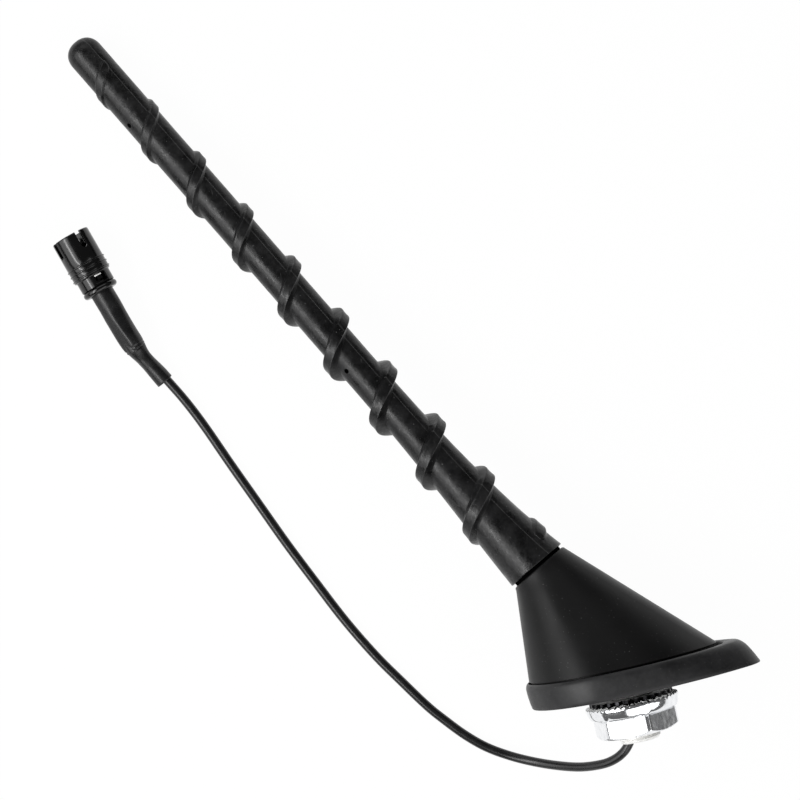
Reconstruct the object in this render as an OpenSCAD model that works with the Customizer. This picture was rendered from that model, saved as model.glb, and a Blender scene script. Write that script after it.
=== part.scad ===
// Roof antenna with a screw-on spiral mast, a leaning conical base and a coaxial pigtail.
// The antenna's own axes: +Z up the roof stud, +X to the nose, the roof plane at Z = 0.
// The loose antenna lies on its left side, so the finished part is laid over at the end.

/* [Mast] */
// Length of the mast from its flat foot to its rounded tip
mast_len = 224; // [160:1:300]
// Angle between the mast and the roof stud
mast_lean = 28.8; // [10:0.2:40]
// Diameter of the slim part of the mast
mast_d = 11.4; // [9:0.1:14]
// Diameter of the mast at its foot
mast_foot_d = 20.6; // [17:0.1:26]
// Height over which the foot flares out
flare_h = 78; // [40:1:100]
// Axial distance from one turn of the spiral rib to the next
rib_pitch = 23; // [14:0.5:40]
// Width of the spiral rib where it meets the mast
rib_w = 4.6; // [3:0.2:10]
// Height of the rib above the slim part, near the tip
rib_tip_proud = 0.5; // [0.3:0.1:2]
// Height of the rib above the foot's rim, near the foot
rib_foot_proud = 0.4; // [0.2:0.1:2]
// Distance from the foot to the lower end of the rib
rib_start = 8.1; // [4:0.1:30]
// Distance from the tip to the upper end of the rib
rib_tip_gap = 11; // [6:0.5:40]
// Diameter of the glass fibre rod inside the mast
rod_d = 4.4; // [3:0.1:6]
// Diameter of the winding on the rod
winding_d = 5.8; // [5:0.1:7]
// Diameter of the brass ferrule in the mast's foot
ferrule_d = 10; // [7:0.1:13]
// Length of the brass ferrule
ferrule_len = 18; // [12:0.5:30]
// Nominal diameter of the mast's threaded stud
mast_stud_d = 4.9; // [3.9:0.1:6]
// Length of the mast stud below the foot
mast_stud_len = 9; // [6:0.5:12]
// Thickness of the seal between the mast and the base
seal_t = 1; // [0.6:0.1:2]
// Diameter of the seal
seal_d = 18.2; // [12:0.1:19]

/* [Base] */
// Height of the mast's foot above the roof, at its centre
foot_z = 44.4; // [40:0.2:60]
// Distance of the mast's foot behind the roof stud
foot_back = 20.2; // [12:0.2:24]
// Width of the base at its rubber foot
base_w = 53; // [50:0.5:64]
// Distance from the roof stud back to the rear of the base
base_rear = 31.4; // [30:0.2:40]
// Distance from the roof stud forward to the nose
base_nose = 42.8; // [40:0.2:60]
// Radius of the nose
nose_r = 11; // [6:0.5:14]
// Height of the rubber gasket's rim
gasket_h = 8.3; // [7:0.1:12]
// How far the gasket's rim leans back at the nose
nose_slope = 5.6; // [2:0.2:7]
// How far the gasket's rim swells out over its height
rim_swell = 0.6; // [0:0.1:1]
// Distance from the rim's rear end to the cover inside it
lip_rear = 0.8; // [0.6:0.1:2]
// Distance from the rim's side to the cover inside it
lip_side = 2.1; // [1.4:0.1:3]
// Distance from the rim's upper nose edge to the cover inside it
lip_nose = 6.3; // [4:0.1:8]
// Thickness of the gasket under the cover
gasket_seat = 4; // [3.4:0.1:5]
// Wall thickness of the cover
cover_wall = 2; // [1.4:0.1:2.6]
// Radius of the cover's rounded upper edge
cover_edge_r = 1.5; // [0.5:0.1:2]
// Diameter of the cover's top
cover_top_d = 20.6; // [18:0.1:25]
// Thickness of the black floor tray
tray_t = 1.8; // [1.2:0.1:2.4]
// Length of the window that shows the cast plate
window_len = 34.5; // [33:0.5:36]
// Width of the window that shows the cast plate
window_w = 28; // [27:0.5:29]
// Wall of the raised frame round the window
frame_wall = 1.3; // [0.8:0.1:1.5]
// Thickness of the cast plate above the tray
plate_t = 3; // [2:0.1:4]
// Diameter of the cast locating pegs
peg_d = 3.4; // [2:0.2:4]

/* [Socket] */
// Diameter of the brass socket for the mast's stud
socket_d = 9; // [8:0.1:11]
// Length of the brass socket
socket_len = 16; // [13:0.5:18]
// Depth of the thread in the socket
socket_depth = 11; // [10:0.5:12]

/* [Roof stud and nut] */
// Diameter of the cast roof stud
stud_d = 13.6; // [12:0.1:16]
// Distance that the stud reaches below the roof plane
stud_reach = 16.8; // [15:0.2:20]
// Width of the cable slot in the stud
slot_w = 5.6; // [4.4:0.1:7]
// Distance across the nut's flats
nut_af = 24; // [22:0.5:26]
// Height of the nut's hexagon
nut_hex_h = 6.2; // [4:0.1:7]
// Diameter of the nut's flange
flange_d = 30; // [28:0.1:30.6]
// Height of the nut's domed flange
flange_h = 4.8; // [3.5:0.1:6]
// Number of teeth round the nut's flange
flange_teeth = 42; // [24:2:60]
// Depth of the teeth on the flange
tooth_h = 0.9; // [0.4:0.1:1.2]
// Thickness of the toothed washer
washer_t = 1; // [0.6:0.1:1.6]
// Diameter of the toothed washer over its teeth
washer_d = 27; // [22:0.5:29]
// Distance from the roof plane to the top of the toothed washer
clamp_gap = 2.3; // [1.6:0.1:4]
// Turn of the nut about the stud, as it was left
nut_clock = -6.5; // [-30:0.5:30]

/* [Circuit] */
// Length of the amplifier board
board_len = 31; // [26:0.5:33]
// Width of the amplifier board
board_w = 22; // [18:0.5:26]
// Thickness of the amplifier board
board_t = 1.2; // [0.8:0.1:1.6]
// Height of the posts that carry the board
post_h = 5; // [4:0.2:6]
// Diameter of the board screws
screw_d = 2.4; // [2:0.1:3]

/* [Connector] */
// Outer diameter of the connector's housing
conn_d = 12.4; // [11.6:0.1:14]
// Length of the housing from its bead to its mouth
conn_len = 19.6; // [18:0.2:24]
// Wall thickness of the housing's fingers
conn_wall = 1.3; // [1:0.1:1.5]
// Width of the four slots between the fingers
finger_gap = 2; // [1.6:0.1:4]
// Length of the four slots
finger_len = 5.8; // [4:0.2:8]
// Diameter of the housing's neck behind its ribs
neck_d = 10; // [9.6:0.1:11.2]
// Diameter of the round bead at the housing's rear
bead_d = 11.7; // [11.2:0.1:12.4]
// Diameter of the connector's inner shield
shield_d = 6.8; // [6.4:0.1:7.4]
// Diameter of the white insulator
insulator_d = 5.8; // [5.2:0.1:6]
// Diameter of the contact
contact_d = 1.7; // [1.5:0.1:2.2]
// Diameter of the hole in the contact
contact_bore = 1; // [0.8:0.05:1.2]
// Depth of the hole in the contact
contact_depth = 4.5; // [3:0.1:6]
// Outer diameter of the large shrink sleeve
sleeve_d = 6.6; // [6.4:0.1:8.4]
// Outer diameter of the small shrink sleeve
inner_sleeve_d = 5.4; // [5.2:0.1:6]
// Outer diameter of the crimp ferrule
crimp_d = 5; // [4.6:0.1:5.2]

/* [Cable] */
// Outer diameter of the coaxial cable
cable_d = 3; // [2.4:0.1:3.4]

/* [Fits] */
// Radial clearance of parts that turn or slide on each other
run_clear = 0.08; // [0.05:0.01:0.12]
// Radial clearance of parts that are pressed, moulded or clipped together
snug = 0.08; // [0.02:0.01:0.1]

/* [Hidden] */
$fn = 64;
eps = 0.01;

// The loose antenna lies on the left rim of its gasket and on the mast's tip.
lay_turn = 10;

// Mast
tip_r = mast_d / 2;
foot_r = mast_foot_d / 2;
flare_r = (flare_h * flare_h + pow(foot_r - tip_r, 2)) / (2 * (foot_r - tip_r));
flare_steps = 14;
foot_round = 0.7;
rib_end = mast_len - rib_tip_gap;
rib_turns = (rib_end - rib_start) / rib_pitch;
rib_steps = 24;
rib_root = 1;
rib_fade = 0.07;
rib_clock = -12;
rod_top = mast_len - 20;
winding_from = ferrule_len + 4;
winding_to = rod_top - 25;
stud_in = 7;
rod_from = stud_in + 1;

// Roof plane outline: a rear arc and a nose arc with their common tangents
rear_r = base_w / 2;
rear_x = -base_rear + rear_r;
nose_x = base_nose - nose_r;
skin_sides = 56;

// Cover outline at the gasket
cover_rear_r = rear_r - lip_side;
cover_rear_x = -base_rear + lip_rear + cover_rear_r;
cover_nose_r = nose_r;
cover_nose_x = base_nose - nose_slope - lip_nose - cover_nose_r;
cover_top_z = -seal_t;
cover_top_r = cover_top_d / 2;

// Opening in the gasket and window in the tray
open_rear = [-5.5, rear_r - 6.5];
open_nose = [12, 15];
tray_z = 1.4;
tray_flange_z = gasket_seat;
window_x = -3.25;
window_r = 3.5;
frame_z = 0.4;
peg_z = 0.2;
peg_x = window_len / 2 - 2.6;
peg_y = window_w / 2 - 2.6;
groove_inset = 1.6;
groove_w = 1;
groove_h = 0.8;

// Cast plate and board
plate_z = tray_flange_z + tray_t;
plate_top = plate_z + plate_t;
plate_len = window_len + 3;
plate_w = window_w + 3;
slot_end_x = 1.9;
board_z = plate_top + post_h;
board_x = window_x - 1;
post_r = 2.6;
post_inset = 3;
post_at = [[board_x - board_len / 2 + post_inset, board_w / 2 - post_inset],
           [board_x - board_len / 2 + post_inset, -board_w / 2 + post_inset],
           [board_x + board_len / 2 - post_inset, 0]];
screw_head_h = 1.4;
screw_len = 4.5;

// Socket and feed wire
socket_flange_d = socket_d + 4;
socket_flange_t = 2;
socket_bottom = cover_top_z - socket_len;
lean_dir = [-sin(mast_lean), 0, cos(mast_lean)];
foot_at = [-foot_back, 0, foot_z];
socket_end = foot_at + socket_bottom * lean_dir;
wire_d = 1.2;
wire_in = 2.5;

// Stud and nut
washer_z = -clamp_gap - washer_t;
nut_bore = stud_d + 2 * run_clear;
flange_z = washer_z - run_clear;
hex_z = flange_z - flange_h;
nut_bottom = hex_z - nut_hex_h;
flange_edge_h = 1.6;
hex_chamfer = 1.1;
washer_teeth = 28;

// Cable
cable_x = -1.5;
clip_wall = 0.8;
clip_z = plate_top + 0.6;

// Connector, along its own axis from the bead to the mouth
conn_r = conn_d / 2;
rib_proud = 0.35;
neck_len = 3.4;
bead_len = 2.2;
band_z = bead_len + neck_len;
rib_step = 1.85;
rib_h = 0.6;
rib_from = band_z + 0.4;
slot_clock = 30;
window_clock = 25;
back_r = sleeve_d / 2 + 0.18;
seat_z = 8.5;
shield_from = 1.5;
shield_to = conn_len - 4;
insulator_from = seat_z;
contact_from = 4;
contact_to = shield_to - 0.8;
window_tab_w = 4;
crimp_to = 3;
floor_z = -(rear_r + rim_swell - rear_x * sin(lay_turn));
conn_z = floor_z + conn_r + rib_proud;
conn_at = [-138, 161.3, conn_z];
conn_dir = [-0.297, 0.955, 0] / norm([-0.297, 0.955, 0]);

// Route of the cable's centre line: from the board down the stud, over the floor to the connector
ROUTE = [[-1.5, 12.6, -0.3], [-1.5, 5, -0.3], [-1.5, -3, -0.3], [-1.5, -10, -0.3],
         [-2, -13.6, -0.6], [-3.4, -16.8, -1.3], [-5.8, -19.6, -2.6], [-9.2, -21.6, -4.8],
         [-13.4, -22.6, -7.8], [-20, -22.6, -13], [-27, -21.2, -18.6], [-34, -18.9, -23],
         [-41, -15.7, -25.6], [-48, -11.3, -26.4], [-54, -5.9, -26.4], [-59.2, 0, -26.4],
         [-64, 6, -26.4], [-70.4, 15.6, -26.4], [-76.8, 25.6, -26.4], [-84, 38.8, -26.4],
         [-90.8, 53.4, -26.4], [-97.2, 67.6, -26.4], [-103.2, 82, -26.4], [-109.2, 96.4, -26.4],
         [-115, 110.8, -26.3], [-119.4, 120.4, -25.9], [-124.6, 130, -25], [-130.4, 141, -23.1],
         [-134.7, 150.8, -21.6], [-138, 161.3, -21.4], [-138.45, 162.74, -21.4]];
ROUTE_STEPS = 2;
sleeve_steps = 4;

function steps(n) = [for (i = [0 : n]) i / n];
function unit(v) = v / norm(v);
function clamp01(t) = min(1, max(0, t));

// A smooth curve through the route's points
function curve_at(p, i, t) =
    let (a = p[max(i - 1, 0)], b = p[i], c = p[i + 1], d = p[min(i + 2, len(p) - 1)])
    0.5 * (2 * b + (c - a) * t + (2 * a - 5 * b + 4 * c - d) * t * t
           + (3 * b - a - 3 * c + d) * t * t * t);
function curve(p, n) = concat(
    [for (i = [0 : len(p) - 2], k = [0 : n - 1]) curve_at(p, i, k / n)], [p[len(p) - 1]]);
function tangent(p, i) = unit(p[min(i + 1, len(p) - 1)] - p[max(i - 1, 0)]);

// Side vectors carried along a path without twist
function carried(side, dir) = unit(side - (side * dir) * dir);
function frames(p, i = 0, side = [0, 0, 1], done = []) =
    i == len(p) ? done : let (s = carried(side, tangent(p, i))) frames(p, i + 1, s, concat(done, [s]));
function ring(c, dir, side, r, n) =
    [for (k = [0 : n - 1]) c + r * (cos(360 * k / n) * side + sin(360 * k / n) * cross(dir, side))];

// Closed skin over rings of n points each, listed from one end to the other
module skin(rings) {
    n = len(rings[0]);
    m = len(rings);
    pts = [for (r = rings, p = r) p];
    walls = [for (i = [0 : m - 2], k = [0 : n - 1]) let (a = i * n + k, b = i * n + (k + 1) % n)
             each [[a, a + n, b], [b, a + n, b + n]]];
    polyhedron(pts, concat(walls, [[for (k = [0 : n - 1]) k]],
                           [[for (k = [n - 1 : -1 : 0]) (m - 1) * n + k]]), convexity = 8);
}

// Round tube along a path, its radius given for each point
module tube(p, radii, n) {
    sides = frames(p);
    skin([for (i = [0 : len(p) - 1]) ring(p[i], tangent(p, i), sides[i], radii[i], n)]);
}

// Egg outline from a rear arc [x, r], a nose arc [x, r] and the side arcs that join them smoothly
function egg_side(rear, nose) =
    (pow(nose[0] - rear[0], 2) + pow(rear[1], 2) - pow(nose[1], 2)) / (2 * (rear[1] - nose[1]));
function egg_turn(rear, nose) = atan2(egg_side(rear, nose) - rear[1], nose[0] - rear[0]);

module egg(rear, nose, grow = 0) {
    side = egg_side(rear, nose);
    join_x = nose[0] + (nose[1] + grow) * cos(egg_turn(rear, nose));
    translate([rear[0], 0]) circle(rear[1] + grow);
    translate([nose[0], 0]) circle(nose[1] + grow);
    intersection() {
        translate([rear[0], side - rear[1]]) circle(side + grow, $fn = 180);
        translate([rear[0], rear[1] - side]) circle(side + grow, $fn = 180);
        translate([rear[0], -2 * side]) square([join_x - rear[0], 4 * side]);
    }
}

// Points round the same outline at height z, at equal angles of its normal
function egg_ring(rear, nose, z, grow = 0) =
    let (side = egg_side(rear, nose), turn = egg_turn(rear, nose))
    [for (k = [0 : skin_sides - 1])
     let (a = 360 * (k + 0.5) / skin_sides - 180, s = a < 0 ? -1 : 1,
          arc = abs(a) < turn ? [nose[0], 0, nose[1]]
              : abs(a) < 90 ? [rear[0], s * (rear[1] - side), side] : [rear[0], 0, rear[1]])
     [arc[0] + (arc[2] + grow) * cos(a), arc[1] + (arc[2] + grow) * sin(a), z]];

// Points round the cover's top, square to the mast
function top_ring(r, z) =
    [for (k = [0 : skin_sides - 1]) let (a = 360 * (k + 0.5) / skin_sides - 180)
     foot_at + z * lean_dir + r * [cos(a) * cos(mast_lean), sin(a), cos(a) * sin(mast_lean)]];

module rounded_rect(length, width, r) {
    hull() for (x = [-1, 1], y = [-1, 1])
        translate([x * (length / 2 - r), y * (width / 2 - r)]) circle(r);
}

// Seats its children on the mast's axis, with +Z towards the tip and the foot at Z = 0
module on_mast() {
    translate(foot_at) rotate([0, -mast_lean, 0]) children();
}

// Seats its children on the connector's axis, with +Z towards the mouth and the bead at Z = 0
module on_connector() {
    translate(conn_at) rotate([0, 0, atan2(conn_dir.y, conn_dir.x)]) rotate([0, 90, 0]) children();
}

// Lays the antenna on its left side
module laid() {
    rotate([-90, 0, 0]) rotate([0, 0, -lay_turn]) children();
}

// Mast
function mast_radius(z) =
    z >= flare_h ? tip_r : tip_r + flare_r - sqrt(pow(flare_r, 2) - pow(flare_h - z, 2));
function crest(z) =
    let (t = (z - rib_start) / (rib_end - rib_start))
    (foot_r + rib_foot_proud) * (1 - t) + (tip_r + rib_tip_proud) * t;

module spiral_rib() {
    count = ceil(rib_turns * rib_steps);
    skin([for (i = [0 : count])
          let (turn = rib_turns * i / count, z = rib_start + rib_pitch * turn,
               grow = clamp01(min(turn, rib_turns - turn) / rib_fade),
               swell = sqrt(1 - pow(1 - grow, 2)),
               a = 360 * turn + rib_clock, core = mast_radius(z), proud = (crest(z) - core) * swell)
          [for (s = [[-0.5, -rib_root], [0.5, -rib_root], [0.5, 0], [0.47, 0.7], [0.34, 0.97],
                     [-0.34, 0.97], [-0.47, 0.7], [-0.5, 0]])
           let (zz = z + s[0] * rib_w * (0.35 + 0.65 * swell),
                r = s[1] < 0 ? core - rib_root : mast_radius(zz) - 0.1 + s[1] * (proud + 0.1))
           [r * cos(a), r * sin(a), zz]]]);
}

module mast_sheath() {
    color("#1b1b1c") on_mast() difference() {
        union() {
            rotate_extrude() polygon(concat(
                [[0, 0], [foot_r - foot_round, 0], [foot_r, foot_round]],
                [for (t = steps(flare_steps)) let (z = foot_round + t * (flare_h - foot_round))
                 [mast_radius(z), z]],
                [for (t = steps(8)) [tip_r * cos(90 * t), mast_len - tip_r + tip_r * sin(90 * t)]]));
            spiral_rib();
        }
        translate([0, 0, -eps]) cylinder(h = ferrule_len + eps, d = ferrule_d + 2 * snug);
        cylinder(h = winding_from + snug, d = rod_d + 2 * snug);
        translate([0, 0, winding_from]) cylinder(h = winding_to - winding_from, d = winding_d + 2 * snug);
        translate([0, 0, winding_to - eps]) cylinder(h = rod_top + snug - winding_to, d = rod_d + 2 * snug);
    }
}

module mast_rod() {
    color("#c8c39a") on_mast() translate([0, 0, rod_from]) cylinder(h = rod_top - rod_from, d = rod_d);
}

module mast_winding() {
    color("#b87333") on_mast() translate([0, 0, winding_from + snug]) difference() {
        cylinder(h = winding_to - winding_from - 2 * snug, d = winding_d);
        translate([0, 0, -eps]) cylinder(h = mast_len, d = rod_d + 2 * snug);
    }
}

module mast_ferrule() {
    color("#b5a05a") on_mast() difference() {
        cylinder(h = ferrule_len - snug, d = ferrule_d);
        translate([0, 0, rod_from - snug]) cylinder(h = ferrule_len, d = rod_d + 2 * snug);
        translate([0, 0, -eps]) cylinder(h = rod_from, d = mast_stud_d + 2 * snug);
    }
}

module mast_stud() {
    color("#c9ccd0") on_mast() translate([0, 0, -mast_stud_len]) {
        chamfer = 0.6;
        rotate_extrude() polygon([[0, 0], [mast_stud_d / 2 - chamfer, 0], [mast_stud_d / 2, chamfer],
                                  [mast_stud_d / 2, mast_stud_len + stud_in], [0, mast_stud_len + stud_in]]);
    }
}

module mast_seal() {
    color("#101010") on_mast() translate([0, 0, cover_top_z]) difference() {
        cylinder(h = seal_t, d = seal_d);
        translate([0, 0, -eps]) cylinder(h = seal_t + 2 * eps, d = mast_stud_d + 2 * run_clear);
    }
}

// Base
module base_cover() {
    rear = [cover_rear_x, cover_rear_r];
    nose = [cover_nose_x, cover_nose_r];
    inner_z = cover_top_z - cover_wall;
    color("#202022") difference() {
        skin(concat([egg_ring(rear, nose, gasket_seat), egg_ring(rear, nose, gasket_h)],
                    [for (t = steps(4)) top_ring(cover_top_r - cover_edge_r * (1 - cos(90 * t)),
                                                 cover_top_z - cover_edge_r * (1 - sin(90 * t)))]));
        skin([egg_ring(rear, nose, gasket_seat - eps, -cover_wall),
              egg_ring(rear, nose, gasket_h, -cover_wall),
              top_ring(cover_top_r - cover_wall, inner_z)]);
        on_mast() translate([0, 0, inner_z - cover_wall])
            cylinder(h = 3 * cover_wall, d = socket_d + 2 * snug);
    }
}

module mast_socket() {
    color("#b5a05a") difference() {
        on_mast() difference() {
            union() {
                translate([0, 0, socket_bottom]) cylinder(h = socket_len, d = socket_d);
                translate([0, 0, cover_top_z - cover_wall - socket_flange_t - snug])
                    cylinder(h = socket_flange_t, d = socket_flange_d);
            }
            translate([0, 0, cover_top_z - socket_depth])
                cylinder(h = socket_depth + eps, d = mast_stud_d + 2 * run_clear);
        }
        translate(socket_end - [0, 0, socket_d])
            cylinder(h = socket_d + wire_in + snug, d = wire_d + 2 * snug);
    }
}

module tray_outline(grow) {
    egg([cover_rear_x, cover_rear_r], [cover_nose_x, cover_nose_r], grow - cover_wall);
}

module base_tray() {
    color("#2a2a2c") difference() {
        union() {
            translate([0, 0, tray_flange_z]) linear_extrude(tray_t) tray_outline(-snug);
            translate([0, 0, tray_z]) linear_extrude(tray_flange_z - tray_z + eps)
                egg(open_rear, open_nose, -snug);
            translate([window_x, 0, frame_z]) linear_extrude(tray_z - frame_z + eps)
                rounded_rect(window_len + 2 * frame_wall, window_w + 2 * frame_wall, window_r + frame_wall);
        }
        translate([window_x, 0, frame_z - eps]) linear_extrude(gasket_h)
            rounded_rect(window_len, window_w, window_r);
    }
}

module cable_slot(z, h, rear) {
    translate([0, 0, z]) linear_extrude(h) {
        translate([slot_end_x, 0]) circle(d = slot_w);
        translate([slot_end_x - rear, -slot_w / 2]) square([rear, slot_w]);
    }
}

module base_plate() {
    color("#a9aca4") difference() {
        union() {
            translate([window_x, 0, plate_z]) linear_extrude(plate_t)
                rounded_rect(plate_len, plate_w, window_r);
            translate([window_x, 0, tray_z]) linear_extrude(plate_z - tray_z + eps)
                rounded_rect(window_len - 2 * snug, window_w - 2 * snug, window_r - snug);
            for (x = [-1, 1], y = [-1, 1])
                translate([window_x + x * peg_x, y * peg_y, peg_z])
                    rotate_extrude() polygon([[0, 0], [peg_d / 2 - 0.5, 0], [peg_d / 2, 0.5],
                                              [peg_d / 2, tray_z], [0, tray_z]]);
            translate([0, 0, -stud_reach]) rotate_extrude() polygon(
                [[0, 0], [stud_d / 2 - 0.8, 0], [stud_d / 2, 0.8], [stud_d / 2, stud_reach + plate_z],
                 [0, stud_reach + plate_z]]);
            for (p = post_at) translate([p.x, p.y, plate_z]) cylinder(h = plate_t + post_h, r = post_r);
        }
        cable_slot(-stud_reach - eps, stud_reach + tray_z, stud_d);
        cable_slot(-eps, board_z, stud_d / 2);
        for (p = post_at) translate([p.x, p.y, board_z - screw_len])
            cylinder(h = screw_len + eps, d = screw_d + 2 * snug);
    }
}

module roof_gasket() {
    rear = [rear_x, rear_r];
    nose = [nose_x, nose_r];
    edge = 1.2;
    function rim(t, z, grow) =
        let (back = nose_slope * t)
        egg_ring(rear, [nose_x - back, nose_r], z, grow);
    color("#141415") difference() {
        skin([rim(0, 0, -0.3), rim(0.04, 0.4, 0), rim(0.7, gasket_h - 2.2, rim_swell),
              rim(0.9, gasket_h - 0.8, rim_swell - 0.3), rim(1, gasket_h, rim_swell - edge)]);
        translate([0, 0, gasket_seat]) linear_extrude(gasket_h) tray_outline(cover_wall + snug);
        translate([0, 0, -eps]) linear_extrude(gasket_h) egg(open_rear, open_nose);
        translate([0, 0, -eps]) linear_extrude(groove_h + eps) difference() {
            egg(open_rear, open_nose, groove_inset + groove_w);
            egg(open_rear, open_nose, groove_inset);
        }
    }
}

// Circuit
module circuit_board() {
    color("#2f6b3a") translate([0, 0, board_z]) difference() {
        translate([board_x, 0, 0]) linear_extrude(board_t) rounded_rect(board_len, board_w, 2);
        for (p = post_at) translate([p.x, p.y, -eps]) cylinder(h = 2 * board_t, d = screw_d + 0.3);
        translate([socket_end.x, 0, -eps]) cylinder(h = 2 * board_t, d = wire_d + 2 * snug);
    }
}

module shield_can() {
    can = [11, 14, 3.2];
    color("#c9ccd0") translate([board_x + 1, 0, board_z + board_t]) difference() {
        linear_extrude(can.z) rounded_rect(can.x, can.y, 0.8);
        translate([0, 0, -eps]) linear_extrude(can.z - 0.3) rounded_rect(can.x - 0.6, can.y - 0.6, 0.5);
    }
}

module board_screws() {
    color("#c9ccd0") for (p = post_at) translate([p.x, p.y, board_z + board_t]) difference() {
        union() {
            cylinder(h = screw_head_h, d = 2 * screw_d);
            translate([0, 0, -screw_len]) cylinder(h = screw_len + eps, d = screw_d);
        }
        for (a = [0, 90]) rotate([0, 0, a]) translate([-1.2, -0.25, screw_head_h - 0.7]) cube([2.4, 0.5, 1]);
    }
}

module feed_wire() {
    color("#b87333") translate([socket_end.x, 0, board_z])
        cylinder(h = socket_end.z + wire_in - board_z, d = wire_d);
}

module cable_clip() {
    color("#c9ccd0") translate([cable_x, 0, clip_z]) difference() {
        cylinder(h = board_z - clip_z, d = cable_d + 2 * snug + 2 * clip_wall);
        translate([0, 0, -eps]) cylinder(h = board_z, d = cable_d + 2 * snug);
    }
}

// Nut and washer
module tooth_washer() {
    root = washer_d / 2 - 2;
    color("#55585c") translate([0, 0, washer_z]) linear_extrude(washer_t) difference() {
        union() {
            circle(root);
            for (i = [0 : washer_teeth - 1]) rotate(360 * i / washer_teeth)
                polygon([[root - 0.5, -1.2], [washer_d / 2, -0.5], [washer_d / 2, 0.5], [root - 0.5, 1.2]]);
        }
        circle(d = nut_bore);
    }
}

module mounting_nut() {
    corner_r = nut_af / sqrt(3);
    neck_r = nut_af / 2 + 0.6;
    color("#d7dadd") rotate([0, 0, nut_clock]) difference() {
        union() {
            translate([0, 0, hex_z]) rotate_extrude() polygon(concat(
                [[0, 0]], [for (t = steps(6)) [neck_r + (flange_d / 2 - neck_r) * sin(90 * t),
                                               (flange_h - flange_edge_h) * (1 - cos(90 * t))]],
                [[flange_d / 2, flange_h - tooth_h / 2], [flange_d / 2 - 0.4, flange_h], [0, flange_h]]));
            intersection() {
                translate([0, 0, nut_bottom]) cylinder(h = nut_hex_h + 1, r = corner_r, $fn = 6);
                translate([0, 0, nut_bottom]) rotate_extrude() polygon(
                    [[0, 0], [nut_af / 2 - 0.4, 0], [corner_r + 0.2, hex_chamfer],
                     [corner_r + 0.2, nut_hex_h + 1], [0, nut_hex_h + 1]]);
            }
        }
        translate([0, 0, nut_bottom - eps]) cylinder(h = nut_hex_h + flange_h + 1, d = nut_bore);
        translate([0, 0, nut_bottom - eps]) cylinder(h = 1, d1 = nut_bore + 1.6, d2 = nut_bore - 0.4);
        for (i = [0 : flange_teeth - 1]) rotate([0, 0, 360 * i / flange_teeth])
            translate([flange_d / 2 - 2.2, 0, flange_z]) rotate([90, 0, 90]) linear_extrude(3)
                polygon([[0, -tooth_h], [tooth_h, eps], [-tooth_h, eps]]);
    }
}

// Cable and connector
module antenna_cable() {
    path = curve(ROUTE, ROUTE_STEPS);
    color("#161617") tube(path, [for (p = path) cable_d / 2], 8);
}

// Shrink sleeve along the last points of the cable's route, with a bore that clears what it holds
module shrink_sleeve(from, to, d, bore, lump) {
    smooth = curve(ROUTE, sleeve_steps);
    path = [for (i = [from * sleeve_steps : to * sleeve_steps]) smooth[i]];
    n = len(path) - 1;
    difference() {
        tube(path, [for (i = [0 : n]) d / 2 + lump * sin(i * 360 / n)], 16);
        tube(concat([path[0] - eps * tangent(path, 0)], path, [path[n] + eps * tangent(path, n)]),
             [for (i = [0 : n + 2]) bore / 2], 16);
    }
}

module outer_sleeve() {
    color("#1a1a1b") shrink_sleeve(27, 29, sleeve_d, inner_sleeve_d + 2 * snug, 0.15);
}

module inner_sleeve() {
    color("#1c1c1d") shrink_sleeve(26, 28, inner_sleeve_d, cable_d + 2 * snug, 0);
}

module crimp_ferrule() {
    color("#b5a05a") on_connector() translate([0, 0, -0.5]) difference() {
        cylinder(h = crimp_to, d = crimp_d);
        translate([0, 0, -eps]) cylinder(h = crimp_to + 2 * eps, d = cable_d + 2 * snug);
    }
}

module connector_housing() {
    bore_r = conn_r - conn_wall;
    color("#121213") on_connector() difference() {
        rotate_extrude() polygon(concat(
            [[back_r, 0]],
            [for (t = steps(10)) [neck_d / 2 + (bead_d - neck_d) / 2 * sin(180 * t),
                                  bead_len * (1 - cos(180 * t)) / 2]],
            [[neck_d / 2, band_z], [conn_r, band_z]],
            [for (i = [0 : 2], q = [[0, 0], [0, rib_proud], [rib_h, rib_proud], [rib_h, 0]])
             [conn_r + q[1], rib_from + rib_step * i + q[0]]],
            [[conn_r, conn_len - 0.4], [conn_r - 0.4, conn_len],
             [bore_r + 0.3, conn_len], [bore_r, conn_len - 0.3], [bore_r, seat_z],
             [shield_d / 2 + snug, seat_z], [shield_d / 2 + snug, shield_from - snug],
             [back_r, shield_from - snug]]));
        for (a = [0, 90]) rotate([0, 0, slot_clock + a])
            translate([-conn_d, 0, conn_len - finger_len + finger_gap / 2]) {
                translate([0, -finger_gap / 2, 0]) cube([2 * conn_d, finger_gap, finger_len]);
                rotate([0, 90, 0]) cylinder(h = 2 * conn_d, d = finger_gap, $fn = 24);
            }
        for (a = [0, 180]) rotate([0, 0, window_clock + a])
            translate([shield_d / 2 - 1, -window_tab_w / 2, bead_len + 0.4])
                cube([4, window_tab_w, neck_len - 0.8]);
    }
}

module lock_tabs() {
    color("#181819") on_connector() for (a = [0, 180]) rotate([0, 0, window_clock + a])
        translate([shield_d / 2 + snug, -window_tab_w / 2 + 1, bead_len + 0.5])
            rotate([90, 0, 90]) linear_extrude(1.5)
                polygon([[0, 0], [window_tab_w - 2, 0], [window_tab_w - 2.5, neck_len - 1],
                         [0.5, neck_len - 1]]);
}

module connector_shield() {
    color("#0f0f10") on_connector() difference() {
        translate([0, 0, shield_from]) cylinder(h = shield_to - shield_from, d = shield_d);
        translate([0, 0, insulator_from]) cylinder(h = conn_len, d = insulator_d + 2 * snug);
        cylinder(h = crimp_to, d = crimp_d + 2 * snug);
        cylinder(h = conn_len, d = contact_d + 2 * snug);
    }
}

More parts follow.
